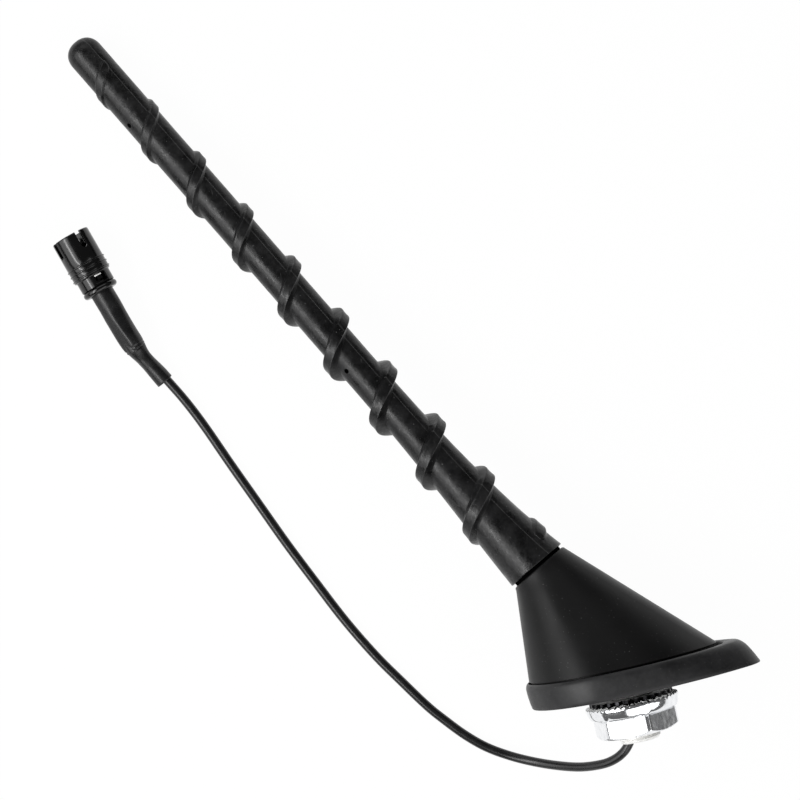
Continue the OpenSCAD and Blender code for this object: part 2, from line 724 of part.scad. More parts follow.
module connector_insulator() {
    color("#ecebe6") on_connector() translate([0, 0, insulator_from]) {
        length = shield_to - insulator_from;
        rotate_extrude() polygon([[contact_d / 2 + snug, 0], [insulator_d / 2, 0], [insulator_d / 2, length],
                                  [1.7, length], [1.1, length - 0.9], [contact_d / 2 + snug, length - 0.9]]);
    }
}

module connector_contact() {
    color("#d8c27a") on_connector() difference() {
        translate([0, 0, contact_from]) cylinder(h = contact_to - contact_from, d = contact_d);
        translate([0, 0, contact_to - contact_depth]) cylinder(h = contact_depth + eps, d = contact_bore);
    }
}

laid() mast_sheath();
laid() mast_rod();
laid() mast_winding();
laid() mast_ferrule();
laid() mast_stud();
laid() mast_seal();
laid() base_cover();
laid() mast_socket();
laid() base_tray();
laid() base_plate();
laid() roof_gasket();
laid() circuit_board();
laid() shield_can();
laid() board_screws();
laid() feed_wire();
laid() cable_clip();
laid() tooth_washer();
laid() mounting_nut();
antenna_cable();
outer_sleeve();
inner_sleeve();
crimp_ferrule();
connector_housing();
lock_tabs();
connector_shield();
connector_insulator();
connector_contact();
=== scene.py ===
import math

import bmesh
import bpy
from mathutils import Matrix, Vector


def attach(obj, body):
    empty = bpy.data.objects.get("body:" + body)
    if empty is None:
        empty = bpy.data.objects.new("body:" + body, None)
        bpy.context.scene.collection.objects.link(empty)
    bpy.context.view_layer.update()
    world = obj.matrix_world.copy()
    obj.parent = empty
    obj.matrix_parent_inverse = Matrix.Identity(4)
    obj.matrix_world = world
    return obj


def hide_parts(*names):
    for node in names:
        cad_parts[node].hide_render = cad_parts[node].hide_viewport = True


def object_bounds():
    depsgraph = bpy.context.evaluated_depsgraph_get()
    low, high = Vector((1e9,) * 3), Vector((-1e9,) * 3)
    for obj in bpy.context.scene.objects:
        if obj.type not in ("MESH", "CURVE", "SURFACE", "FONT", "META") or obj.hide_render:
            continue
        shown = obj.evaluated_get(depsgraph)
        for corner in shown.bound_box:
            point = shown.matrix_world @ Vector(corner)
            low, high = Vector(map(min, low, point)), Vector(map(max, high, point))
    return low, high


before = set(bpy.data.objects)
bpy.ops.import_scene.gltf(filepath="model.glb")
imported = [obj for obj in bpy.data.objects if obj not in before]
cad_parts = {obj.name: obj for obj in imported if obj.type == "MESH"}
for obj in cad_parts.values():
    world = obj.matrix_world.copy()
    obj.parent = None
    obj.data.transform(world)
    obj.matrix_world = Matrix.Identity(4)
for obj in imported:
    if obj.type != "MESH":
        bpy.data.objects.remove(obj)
cad_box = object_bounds()

# Shapes are drawn in millimetres, and MM turns them into the frame's metres
MM = 0.001
FLOOR_Z = cad_box[0][2]

# The camera looks straight down on the antenna, which lies on its left side.
bpy.ops.object.select_all(action="DESELECT")
bpy.ops.object.camera_add(location=(-0.051, 0.1052, 1.048), rotation=(0, 0, math.radians(-12.57)))
camera = bpy.context.object
camera.data.lens = 148.5
camera.data.sensor_width = 36
camera.data.clip_start = 0.05
bpy.context.scene.camera = camera


# Finishes
class Value:
    """A socket that Python's arithmetic works on: each operator adds one Math node."""

    def __init__(self, finish, socket):
        self.finish, self.socket = finish, socket

    def _math(self, operation, *values):
        inputs = {f"i{k}": v for k, v in enumerate(values)}
        return self.finish.node("Math", {"operation": operation}, **inputs)

    def __add__(self, other):
        return self._math("ADD", self, other)

    def __sub__(self, other):
        return self._math("SUBTRACT", self, other)

    def __rsub__(self, other):
        return self._math("SUBTRACT", other, self)

    def __mul__(self, other):
        return self._math("MULTIPLY", self, other)

    def __gt__(self, other):
        return self._math("GREATER_THAN", self, other)

    def __or__(self, other):
        return self._math("MAXIMUM", self, other)


class Finish:
    """A procedural finish. Lengths inside it are in millimetres."""

    def __init__(self, name, color, roughness, metallic=0.0, **constant):
        self.material = bpy.data.materials.new(name)
        self.material.use_nodes = True
        self.tree = self.material.node_tree
        self.shader = self.tree.nodes["Principled BSDF"]
        self.set("Base Color", color)
        self.set("Roughness", roughness)
        self.set("Metallic", metallic)
        for socket, value in constant.items():
            self.set(socket.replace("_", " "), value)

    def set(self, socket, value):
        self._plug(self.shader.inputs[socket], value)

    def _plug(self, socket, value):
        if isinstance(value, Value):
            self.tree.links.new(value.socket, socket)
        elif isinstance(value, tuple) and len(value) == 3 and socket.type == "RGBA":
            socket.default_value = (*value, 1)
        else:
            socket.default_value = value

    def node(self, kind, settings=None, out=0, **values):
        """Adds a node. Inputs are given by name, or by number as i0, i1 and so on; out is an output."""
        made = self.tree.nodes.new("ShaderNode" + kind)
        for key, value in (settings or {}).items():
            setattr(made, key, value)
        for key, value in values.items():
            numbered = key[0] == "i" and key[1:].isdigit()
            self._plug(made.inputs[int(key[1:]) if numbered else key.replace("_", " ")], value)
        return Value(self, made.outputs[out])

    def place(self, stretch=(1.0, 1.0, 1.0), turn=(0.0, 0.0, 0.0)):
        """Where a point of the piece is, in millimetres, turned and then stretched."""
        at = self.node("TexCoord", out="Object")
        scale = tuple(s / MM for s in stretch)
        return self.node("Mapping", {"vector_type": "POINT"}, Vector=at, Rotation=turn, Scale=scale)

    def noise(self, at, size, detail=2.0, roughness=0.5):
        return self.node("TexNoise", Vector=at, Scale=1 / size, Detail=detail, Roughness=roughness)

    def ramp(self, value, low, high):
        """0 up to low, 1 from high, and a straight rise between them."""
        made = self.node("ValToRGB", Fac=value)
        first, last = made.socket.node.color_ramp.elements
        first.position, first.color = low, (0, 0, 0, 1)
        last.position, last.color = high, (1, 1, 1, 1)
        return made

    def blend(self, amount, low, high):
        """Mixes two colours, which are inputs 6 and 7 and output 2 of the Mix node."""
        return self.node("Mix", {"data_type": "RGBA"}, out=2, i0=amount, i6=low, i7=high)

    def rub_and_glint_mask(self):
        """1 along the edges and parting lines coloured lighter: rubbed wear at the connector's mouth,
        painted glints on the rib's crest edges, and on the parting lines partly rubbed flash, partly a
        painted highlight.
        """
        return self.node("Attribute", {"attribute_name": "rub"}, out="Fac")

    def bump(self, height, depth=1.0):
        """depth is the height in millimetres of a step from 0 to 1."""
        return self.node("Bump", Height=height, Distance=depth * MM, Strength=1.0)


# The last of these is the lighter colour of rubbed edges, also used for painted glints on the rib's crest
# edges and parting lines
DUST, SCUFFED, WORN_AND_GLINT = (0.14, 0.14, 0.14), (0.06, 0.06, 0.06), (0.11, 0.11, 0.11)


def moulded(name, dark, light, rough, patch=9.0, grain=0.35, depth=0.012, specks=0.0, scuffs=0.0,
            rub=0.0, uneven=0.0, **constant):
    """Black rubber or plastic with a fine grain, soft patches, fine scuffs, a little dust, and lighter
    edges that are partly rubbed wear and partly painted glints.

    patch and grain are sizes, depth and uneven are heights; specks, scuffs and the amount of lighter edges
    (rubbed wear and painted glints) are strengths.
    """
    f = Finish(name, dark, rough[0], **constant)
    at = f.place()
    patches = f.ramp(f.noise(at, patch, 4.0, 0.6), 0.36, 0.66)
    mottle = f.ramp(f.noise(at, patch / 6, 3.0, 0.65), 0.38, 0.7)
    fine = f.noise(at, grain, 3.0, 0.6)
    color = f.blend(patches * 0.5 + mottle * 0.35 + fine * 0.15, dark, light)
    gloss = patches * (rough[1] - rough[0]) + fine * 0.08 + (rough[0] - 0.04)
    if scuffs:
        long = f.place(stretch=(1.0, 0.09, 0.6), turn=(0.0, 0.0, 0.42))
        marks = f.ramp(f.noise(long, 0.5, 2.0, 0.5), 0.7, 0.78) * (f.noise(at, 11.0) > 0.5)
        color = f.blend(marks * scuffs, color, SCUFFED)
        gloss = gloss + marks * 0.12
    if specks:
        dust = f.ramp(f.noise(at, 0.5, 1.0, 0.4), 0.755, 0.785)
        color = f.blend(dust * specks, color, DUST)
    # Lighter edges: rubbed wear, and painted glints on the rib's crest edges and parting lines
    if rub:
        wear_and_glint = f.ramp(f.rub_and_glint_mask() * (f.noise(at, 1.6, 3.0, 0.6) * 0.8 + 0.62), 0.55, 0.95)
        color = f.blend(wear_and_glint * rub, color, WORN_AND_GLINT)
        gloss = gloss - wear_and_glint * 0.1
    f.set("Base Color", color)
    height = fine * depth
    if uneven:
        height = height + f.noise(at, patch / 3, 2.0, 0.5) * uneven
    f.set("Roughness", gloss)
    f.set("Normal", f.bump(height))
    return f


def metal(name, dark, light, rough, grain=0.3, depth=0.01, blotch=2.4, metallic=1.0, uneven=0.0):
    """Bare or plated metal with soft blotches and fine marks."""
    f = Finish(name, light, rough[0], metallic)
    at = f.place()
    blotches = f.ramp(f.noise(at, blotch, 4.0, 0.6), 0.3, 0.7)
    fine = f.noise(at, grain, 4.0, 0.6)
    f.set("Base Color", f.blend(blotches, dark, light))
    f.set("Roughness", fine * (rough[1] - rough[0]) + rough[0])
    height = fine * depth
    if uneven:
        height = height + f.noise(at, blotch, 2.0, 0.5) * uneven
    f.set("Normal", f.bump(height))
    return f


def pale(name, low, high, rough):
    """White plastic, pale resin or board with a faint cloud in its colour."""
    f = Finish(name, high, rough)
    at = f.place()
    cloud = f.noise(at, 1.5, 3.0, 0.5)
    f.set("Base Color", f.blend(cloud, low, high))
    f.set("Roughness", cloud * 0.12 + (rough - 0.06))
    f.set("Normal", f.bump(f.noise(at, 0.3, 2.0), 0.006))
    return f


mast_rubber = moulded("mast_rubber", (0.0004, 0.0004, 0.0005), (0.011, 0.011, 0.0115), (0.24, 0.44),
                      patch=5.0, grain=0.45, depth=0.013, specks=0.9, scuffs=0.9, rub=0.75, uneven=0.13,
                      Specular_IOR_Level=0.31)
cover_plastic = moulded("cover_plastic", (0.0008, 0.0008, 0.0009), (0.0022, 0.0022, 0.0024), (0.37, 0.46),
                        patch=16.0, grain=0.2, depth=0.008, specks=0.5, scuffs=0.15,
                        Specular_IOR_Level=0.23)
gasket_rubber = moulded("gasket_rubber", (0.005, 0.005, 0.0054), (0.02, 0.02, 0.021), (0.38, 0.52),
                        patch=8.0, grain=0.3, depth=0.012, specks=0.35, scuffs=0.2,
                        Specular_IOR_Level=0.34)
# The seal is pure black without any sheen: painted shade standing for the dark gap between the mast's foot
# and the cover
seal_rubber_painted_shade = moulded("seal_rubber_painted_shade", (0.001, 0.001, 0.001), (0.002, 0.002, 0.002), (0.8, 0.9),
                      Specular_IOR_Level=0.0)
tray_plastic = moulded("tray_plastic", (0.007, 0.007, 0.0075), (0.014, 0.014, 0.015), (0.42, 0.55),
                       Specular_IOR_Level=0.35)
cable_black = moulded("cable_black", (0.004, 0.004, 0.0043), (0.0075, 0.0075, 0.008), (0.25, 0.34),
                      patch=5.0, grain=2.5, depth=0.004, specks=0.15, Specular_IOR_Level=0.45)
sleeve_black = moulded("sleeve_black", (0.003, 0.003, 0.0033), (0.0085, 0.0085, 0.009), (0.3, 0.42),
                       patch=4.0, grain=2.0, depth=0.01, specks=0.2, Specular_IOR_Level=0.42)
connector_black = moulded("connector_black", (0.0005, 0.0005, 0.0006), (0.001, 0.001, 0.0011), (0.15, 0.2),
                          patch=5.0, grain=4.0, depth=0.0003, specks=0.1, rub=0.35,
                          Specular_IOR_Level=0.5)
nut_zinc = metal("nut_zinc", (0.8, 0.81, 0.83), (0.92, 0.93, 0.94), (0.06, 0.18), grain=0.9,
                 depth=0.004, uneven=0.03)
# The tooth washer is near black: painted shade of the gap between the gasket and the nut's flange
washer_zinc = metal("washer_zinc", (0.012, 0.012, 0.013), (0.05, 0.05, 0.054), (0.3, 0.45))
cast_zinc = metal("cast_zinc", (0.75, 0.747, 0.73), (0.89, 0.887, 0.87), (0.42, 0.6), grain=0.4,
                  depth=0.05, blotch=1.6, metallic=0.25)
brass = metal("brass", (0.55, 0.4, 0.16), (0.72, 0.55, 0.26), (0.22, 0.34))
steel = metal("steel", (0.5, 0.5, 0.51), (0.66, 0.66, 0.67), (0.25, 0.4))
copper = metal("copper", (0.5, 0.22, 0.1), (0.66, 0.32, 0.16), (0.25, 0.36))
insulator_white = pale("insulator_white", (0.78, 0.78, 0.76), (0.88, 0.88, 0.86), 0.42)
glass_fibre = pale("glass_fibre", (0.5, 0.47, 0.33), (0.62, 0.6, 0.45), 0.4)
board_green = pale("board_green", (0.02, 0.12, 0.045), (0.03, 0.17, 0.065), 0.35)


# Frames of the pieces, each with its own Z along the piece's axis
def axes(x, y, z, at):
    made = Matrix((x, y, z)).transposed().to_4x4()
    made.translation = Vector(at) * MM
    return made


# The base lies rolled by LAY on its side, and the mast leans back by LEAN from its foot
LAY = math.radians(10)
LEAN = math.radians(28.8)
FOOT = Vector((-20.2, 0, 44.4))
CONN_AT = Vector((-138, 161.3, FLOOR_Z / MM + 6.55))
CONN_DIR = Vector((-0.297, 0.955, 0)).normalized()
upright = axes((math.cos(LAY), 0, math.sin(LAY)), (math.sin(LAY), 0, -math.cos(LAY)), (0, 1, 0),
               (0, 0, 0))
along_mast = upright @ axes((math.cos(LEAN), 0, math.sin(LEAN)), (0, 1, 0),
                            (-math.sin(LEAN), 0, math.cos(LEAN)), FOOT)
along_connector = axes((0, 0, -1), (-CONN_DIR.y, CONN_DIR.x, 0), CONN_DIR, CONN_AT)
as_placed = Matrix.Identity(4)


def deselect():
    if bpy.context.object and bpy.context.object.mode != "OBJECT":
        bpy.ops.object.mode_set(mode="OBJECT")
    bpy.ops.object.select_all(action="DESELECT")


def activate(piece):
    deselect()
    piece.select_set(True)
    bpy.context.view_layer.objects.active = piece
    return piece


class Loft:
    """A skin drawn ring by ring: a circle is extruded, and each new ring is put in its place."""

    def __init__(self, name, count, frame_of_piece):
        deselect()
        self.count, self.matrix, self.rings = count, frame_of_piece, 0
        bpy.ops.mesh.primitive_circle_add(vertices=count, radius=0.01)
        self.piece = bpy.context.object
        self.piece.name = self.piece.data.name = name
        bpy.ops.object.mode_set(mode="EDIT")
        bpy.ops.mesh.select_mode(type="VERT")
        mesh = bmesh.from_edit_mesh(self.piece.data)
        mesh.verts.layers.int.new("place")
        mesh.verts.layers.int.new("ring")
        mesh.verts.layers.float.new("rub")
        place = mesh.verts.layers.int["place"]
        for k, v in enumerate(mesh.verts):
            v[place] = k

    def to(self, points, rub=None):
        """Extrudes the last ring to these points, and marks those that are rubbed bright and those that
        carry a painted glint.
        """
        if self.rings:
            bpy.ops.mesh.extrude_region_move()
        mesh = bmesh.from_edit_mesh(self.piece.data)
        layers = mesh.verts.layers
        place, ring, wear_and_glint = layers.int["place"], layers.int["ring"], layers.float["rub"]
        mesh.verts.ensure_lookup_table()
        for v in mesh.verts[-self.count:]:
            k = v[place]
            v.co = self.matrix @ (Vector(points[k]) * MM)
            v[ring] = self.rings
            v[wear_and_glint] = rub[k] if rub else 0.0
        self.rings += 1
        return self

    def _choose(self, wanted):
        bpy.ops.mesh.select_all(action="DESELECT")
        mesh = bmesh.from_edit_mesh(self.piece.data)
        ring = mesh.verts.layers.int["ring"]
        for v in mesh.verts:
            v.select = v[ring] in wanted
        mesh.select_flush(True)

    def finish(self, joined=False):
        """Closes both ends with a face each, or joins them to each other."""
        if joined:
            bpy.ops.mesh.select_all(action="DESELECT")
            bpy.ops.mesh.select_non_manifold(extend=False, use_boundary=True, use_wire=False,
                                             use_multi_face=False, use_non_contiguous=False,
                                             use_verts=False)
            bpy.ops.mesh.bridge_edge_loops()
        else:
            for end in (0, self.rings - 1):
                self._choose({end})
                bpy.ops.mesh.edge_face_add()
        bpy.ops.mesh.select_all(action="SELECT")
        bpy.ops.mesh.normals_make_consistent(inside=False)
        bpy.ops.object.mode_set(mode="OBJECT")
        return self.piece


def circle(r, z, angles):
    return [(r * math.cos(a), r * math.sin(a), z) for a in angles]


def turns_of(count):
    return [2 * math.pi * k / count for k in range(count)]


def turned(name, outline, steps):
    """A ring turned from its closed outline of (radius, height) points."""
    deselect()
    bpy.ops.mesh.primitive_circle_add(vertices=len(outline), radius=0.01)
    piece = bpy.context.object
    piece.name = piece.data.name = name
    bpy.ops.object.mode_set(mode="EDIT")
    mesh = bmesh.from_edit_mesh(piece.data)
    mesh.verts.layers.float.new("rub")
    for v, (r, z) in zip(mesh.verts, outline):
        v.co = (r * MM, 0, z * MM)
    bpy.ops.mesh.spin(steps=steps, angle=2 * math.pi, center=(0, 0, 0), axis=(0, 0, 1))
    bpy.ops.mesh.select_all(action="SELECT")
    bpy.ops.mesh.remove_doubles(threshold=1e-6)
    bpy.ops.mesh.normals_make_consistent(inside=False)
    bpy.ops.object.mode_set(mode="OBJECT")
    return piece


def cut(piece, tool):
    """Cuts the tool out of the piece and removes it."""
    activate(piece)
    change = piece.modifiers.new("cut", "BOOLEAN")
    change.operation = "DIFFERENCE"
    change.solver = "EXACT"
    change.object = tool
    bpy.ops.object.modifier_apply(modifier="cut")
    bpy.data.objects.remove(tool, do_unlink=True)
    return piece


def block(size, at, frame_of_piece, round_end=0.0):
    """A block, whose lower end can be rounded."""
    deselect()
    bpy.ops.mesh.primitive_cube_add(size=1)
    tool = bpy.context.object
    tool.data.transform(Matrix.Diagonal((*(Vector(size) * MM), 1)))
    if round_end:
        bpy.ops.object.mode_set(mode="EDIT")
        bpy.ops.mesh.select_all(action="DESELECT")
        mesh = bmesh.from_edit_mesh(tool.data)
        for e in mesh.edges:
            low = all(v.co.z < 0 for v in e.verts)
            e.select = low and abs(e.verts[0].co.x - e.verts[1].co.x) > 1e-6
        bpy.ops.mesh.bevel(offset=round_end * MM, segments=8, affect="EDGES", clamp_overlap=False)
        bpy.ops.object.mode_set(mode="OBJECT")
    tool.data.transform(frame_of_piece @ Matrix.Translation(Vector(at) * MM))
    return tool


def settle(piece, body, slot, finish, *nodes, smooth=30):
    """Gives a piece its finish, its body and the CAD nodes that it stands for."""
    activate(piece)
    if piece.type == "MESH":
        bpy.ops.object.shade_smooth_by_angle(angle=math.radians(smooth), keep_sharp_edges=True)
    piece.data.materials.clear()
    piece.data.materials.append(finish.material)
    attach(piece, body)
    if nodes:
        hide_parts(*nodes)
    return piece


# Cable
ROUTE = [(-1.5, 12.6, -0.3), (-1.5, 5, -0.3), (-1.5, -3, -0.3), (-1.5, -10, -0.3),
         (-2, -13.6, -0.6), (-3.4, -16.8, -1.3), (-5.8, -19.6, -2.6), (-9.2, -21.6, -4.8),
         (-13.4, -22.6, -7.8), (-20, -22.6, -13), (-27, -21.2, -18.6), (-34, -18.9, -23),
         (-41, -15.7, -25.6), (-48, -11.3, -26.4), (-54, -5.9, -26.4), (-59.2, 0, -26.4),
         (-64, 6, -26.4), (-70.4, 15.6, -26.4), (-76.8, 25.6, -26.4), (-84, 38.8, -26.4),
         (-90.8, 53.4, -26.4), (-97.2, 67.6, -26.4), (-103.2, 82, -26.4), (-109.2, 96.4, -26.4),
         (-115, 110.8, -26.3), (-119.4, 120.4, -25.9), (-124.6, 130, -25), (-130.4, 141, -23.1),
         (-134.7, 150.8, -21.6), (-138, 161.3, -21.4), (-138.45, 162.74, -21.4)]
# The cable has LINE_STEPS points for each stretch of its route
CABLE_D, LINE_STEPS = 3.0, 6
# Centre line of the two sleeves, which bulge off the cable at their bend
SLEEVE_LINE = [(-124.2, 127.8, -25.5), (-125.8, 130.7, -25.1), (-127.3, 133.2, -24.6),
               (-128.7, 135.5, -24.1), (-130.0, 138.0, -23.6), (-131.0, 140.3, -23.2),
               (-132.0, 142.7, -22.8), (-133.0, 145.4, -22.4), (-134.1, 148.8, -22.0),
               (-135.0, 151.7, -21.7), (-135.9, 154.8, -21.5), (-136.7, 157.3, -21.4),
               (-138.0, 161.3, -21.4), (-138.6, 163.2, -21.4)]


def on_line(line, s):
    """The point of a smooth line at its point number s, whole or between two."""
    i = min(int(s), len(line) - 2)
    t = s - i
    a, b = Vector(line[max(i - 1, 0)]), Vector(line[i])
    c, d = Vector(line[i + 1]), Vector(line[min(i + 2, len(line) - 1)])
    square, cube = 2 * a - 5 * b + 4 * c - d, 3 * b - a - 3 * c + d
    return 0.5 * (2 * b + (c - a) * t + square * t ** 2 + cube * t ** 3)


cable_line = [on_line(ROUTE, k / LINE_STEPS) for k in range(LINE_STEPS * (len(ROUTE) - 1) + 1)]
cable_length = sum((b - a).length for a, b in zip(cable_line, cable_line[1:])) * MM
curve = bpy.data.curves.new("coaxial_cable", "CURVE")
curve.dimensions = "3D"
curve.bevel_depth = CABLE_D / 2 * MM
curve.bevel_resolution = 6
curve.use_fill_caps = True
spline = curve.splines.new("POLY")
spline.points.add(len(cable_line) - 1)
for point, at in zip(spline.points, cable_line):
    point.co = (*(at * MM), 1)
spline.use_smooth = True
coaxial_cable = bpy.data.objects.new("coaxial_cable", curve)
bpy.context.collection.objects.link(coaxial_cable)
settle(coaxial_cable, "root", "cable_black", cable_black, "antenna_cable")


def sleeve(name, first, last, radius, wall, rings):
    """A shrink sleeve: radius gives its outer size at a share of its length and an angle."""
    count, bore_rings, edge = 48, 8, 0.12
    skin = Loft(name, count, as_placed)

    def ring(t, r):
        s = first + (last - first) * t
        at, ahead = on_line(SLEEVE_LINE, s), on_line(SLEEVE_LINE, s + 0.02)
        tangent = (ahead - at).normalized()
        side = tangent.cross(Vector((0, 0, 1))).normalized()
        up = side.cross(tangent)
        return [tuple(at + (up * math.cos(a) + side * math.sin(a)) * r(a)) for a in turns_of(count)]

    for k in range(bore_rings + 1):
        t = 1 - k / bore_rings
        skin.to(ring(t, lambda a: radius(t, a) - wall))
    skin.to(ring(0.0, lambda a: radius(0.0, a) - edge))
    for k in range(rings + 1):
        t = (k + 0.3) / (rings + 0.6)
        skin.to(ring(t, lambda a: radius(t, a)))
    skin.to(ring(1.0, lambda a: radius(1.0, a) - edge))
    return skin.finish(joined=True)


def near(t, middle, width):
    """A soft hump: 1 at the middle, and next to nothing two widths away from it."""
    return math.exp(-((t - middle) / width) ** 2)


def large_sleeve(t, a):
    """The sleeve over the crimp: pressed flat along its left, with folds where it ends at the bend."""
    lumps = 0.05 * math.sin(3 * a + 6 * t) + 0.03 * math.sin(5 * a - 9 * t + 1)
    round_r = 3.74 + 0.1 * t + lumps
    flat_r = 3.72 - 0.7 * near(t, 0.2, 0.28)
    facing, soft = math.cos(a + 0.75), 0.15
    if facing > 0.3:
        round_r = -soft * math.log(math.exp(-round_r / soft) + math.exp(-flat_r / facing / soft))
    ripple = 0.2 * math.sin(t * 110 + 2.4 * math.sin(a + 0.5)) * (0.6 + 0.4 * math.cos(a))
    taper = 0.55 * max(0.0, 1 - t / 0.16) ** 1.5
    return round_r - taper + ripple * near(t, 0.05, 0.05)


def small_sleeve(t, a):
    """The sleeve over the cable, wider towards the crimp."""
    lumps = 0.05 * math.sin(3 * a + 5 * t) + 0.03 * math.sin(4 * a - 9 * t + 2)
    waist = 0.17 * near(t, 0.38, 0.2)
    pinch = 0.25 * near(t, 0.6, 0.1) * max(0.0, math.cos(a - 0.6))
    dent = 0.25 * near(t, 0.45, 0.2) * max(0.0, math.cos(a + 0.9)) ** 2
    wide = 2.4 * max(0.0, min(t, 0.7) - 0.5) - 1.6 * max(0.0, t - 0.7)
    return 2.86 - waist + wide + lumps - pinch - dent


long_sleeve = settle(sleeve("large_sleeve", 4.7, 12.6, large_sleeve, 0.5, 70), "root", "sleeve_black",
                     sleeve_black, "outer_sleeve", smooth=60)
short_sleeve = settle(sleeve("small_sleeve", 0, 7.0, small_sleeve, 0.9, 44), "root", "sleeve_black",
                      sleeve_black, "inner_sleeve", smooth=60)


# Connector
CONN_LEN, BODY_R, NECK_R, NECK_TOP = 19.8, 6.38, 5.75, 5.05
BEAD_R, BEAD_AT = 1.1, 4.85
RIBS = [5.55, 7.3, 9.05]
# How far along a rib each point is, and how far it stands proud
RIB_FORM = [(-0.04, 0.0), (0.03, 0.05), (0.1, 0.26), (0.2, 0.3), (0.32, 0.3), (0.42, 0.26), (0.49, 0.05),
            (0.56, 0.0)]
MOUTH_R, MOUTH_STEP, BORE_R, BORE_TOP, BORE_FROM = 4.9, 0.18, 3.88, 8.5, 3.0
SLOT_W, SLOT_LEN, SLOT_TURN = 2.0, 5.8, 30
WINDOW_W, WINDOW_LEN, WINDOW_AT, WINDOW_TURN = 4, 2.7, 3.1, 25


def turn_by(degrees):
    return Matrix.Rotation(math.radians(degrees), 4, "Z")


def housing_outline():
    """Half of the housing's section: the bead, the neck, the ribs, the mouth and the bore."""
    outline = [(BORE_R + 0.07, -0.85), (BORE_R + 0.32, -1.06)]
    for k in range(15):
        a = math.radians(-90 + 155 * k / 14)
        outline.append((BEAD_AT + BEAD_R * math.cos(a), BEAD_R * math.sin(a)))
    outline += [(NECK_R, 1.2), (NECK_R, NECK_TOP - 0.45), (NECK_R + 0.06, NECK_TOP - 0.2),
                (NECK_R + 0.2, NECK_TOP - 0.07), (BODY_R - 0.2, NECK_TOP),
                (BODY_R - 0.05, NECK_TOP + 0.07), (BODY_R, NECK_TOP + 0.25)]
    for z in RIBS:
        outline += [(BODY_R + proud, z + along) for along, proud in RIB_FORM]
    outline += [(BODY_R, 11.5), (BODY_R, 14.5), (BODY_R, 17.0), (BODY_R, CONN_LEN - 0.5),
                (BODY_R - 0.06, CONN_LEN - 0.2), (BODY_R - 0.22, CONN_LEN - 0.03),
                (BODY_R - 0.42, CONN_LEN), (MOUTH_R + 0.45, CONN_LEN), (MOUTH_R + 0.26, CONN_LEN - 0.08)]
    outline += [(MOUTH_R + MOUTH_STEP, CONN_LEN - 0.3), (MOUTH_R + MOUTH_STEP, 18.3),
                (MOUTH_R + 0.12, 18.15), (MOUTH_R + 0.02, 18.1), (MOUTH_R, 17.95), (MOUTH_R, 17.3),
                (MOUTH_R + 0.04, 17.15), (MOUTH_R + 0.16, 17.0), (MOUTH_R + 0.12, 13.5),
                (MOUTH_R, 12.8), (MOUTH_R, BORE_TOP + 0.1)]
    return outline + [(MOUTH_R - 0.1, BORE_TOP), (BORE_R + 0.07, BORE_TOP), (BORE_R, BORE_TOP - 0.1),
                      (BORE_R, BORE_FROM)]


def housing():
    """The housing with its four slots and two windows, whose edges are rounded."""
    piece = turned("slotted_housing", housing_outline(), 128)
    high = 8
    for quarter in (0, 90):
        cut(piece, block((30, SLOT_W, high), (0, 0, CONN_LEN - SLOT_LEN + high / 2),
                         turn_by(SLOT_TURN + quarter), SLOT_W / 2 - 0.02))
    for half in (0, 180):
        cut(piece, block((4, WINDOW_W, WINDOW_LEN), (4.5, 0, WINDOW_AT), turn_by(WINDOW_TURN + half)))
    activate(piece)
    bpy.ops.object.mode_set(mode="EDIT")
    bpy.ops.mesh.select_mode(type="EDGE")
    bpy.ops.mesh.select_all(action="DESELECT")
    mesh = bmesh.from_edit_mesh(piece.data)
    rub = mesh.verts.layers.float["rub"]
    for v in mesh.verts:
        at_mouth = v.co.z > (CONN_LEN - 0.1) * MM and v.co.xy.length > (BODY_R - 0.68) * MM
        v[rub] = 1.0 if at_mouth else 0.0
    for e in mesh.edges:
        if len(e.link_faces) == 2 and e.calc_face_angle() > math.radians(50):
            middle = (e.verts[0].co + e.verts[1].co) / 2 / MM
            in_slot = CONN_LEN - SLOT_LEN - 0.3 < middle.z < CONN_LEN - 0.8
            in_window = abs(middle.z - WINDOW_AT) < 1.5 and middle.xy.length > MOUTH_R
            e.select = in_slot or in_window
    bpy.ops.mesh.bevel(offset=0.1 * MM, segments=2, affect="EDGES", clamp_overlap=False)
    bpy.ops.object.mode_set(mode="OBJECT")
    piece.data.transform(along_connector)
    return piece


slotted_housing = settle(housing(), "root", "connector_black", connector_black, "connector_housing",
                         smooth=40)


def window_glint():
    """A white block at the top of the window that faces up: a painted highlight standing for the glint seen
    there.
    """
    wide, deep, high = 2.4, 0.9, 0.4
    top = WINDOW_AT + WINDOW_LEN / 2 - 0.03
    piece = block((deep, wide, high), (5.17, -0.35, top - high / 2),
                  along_connector @ turn_by(WINDOW_TURN + 180))
    activate(piece)
    bpy.ops.object.mode_set(mode="EDIT")
    bpy.ops.mesh.select_all(action="SELECT")
    bpy.ops.mesh.bevel(offset=0.1 * MM, segments=3, affect="EDGES")
    bpy.ops.object.mode_set(mode="OBJECT")
    piece.name = piece.data.name = "window_glint"
    return piece


# A white block painted in as a highlight in the connector's window
glint_block = settle(window_glint(), "root", "insulator_white", insulator_white)


# Mast
MAST_LEN, TIP_R, TIP_H, FOOT_R, FLARE_H, FOOT_ROUND = 225.6, 5.85, 5.4, 10.3, 78.0, 0.35
FLARE_R = (FLARE_H ** 2 + (FOOT_R - TIP_R) ** 2) / (2 * (FOOT_R - TIP_R))
RIB_PITCH, RIB_START, RIB_END = 23.0, 6.4, 213.0
RIB_FOOT_W, RIB_TIP_W = 7.0, 5.0
RIB_TURNS = (RIB_END - RIB_START) / RIB_PITCH
# The rib starts at the angle RIB_CLOCK, and swells up over the share RIB_FADE of a turn
RIB_CLOCK, RIB_FADE = math.radians(-38.6), 0.09
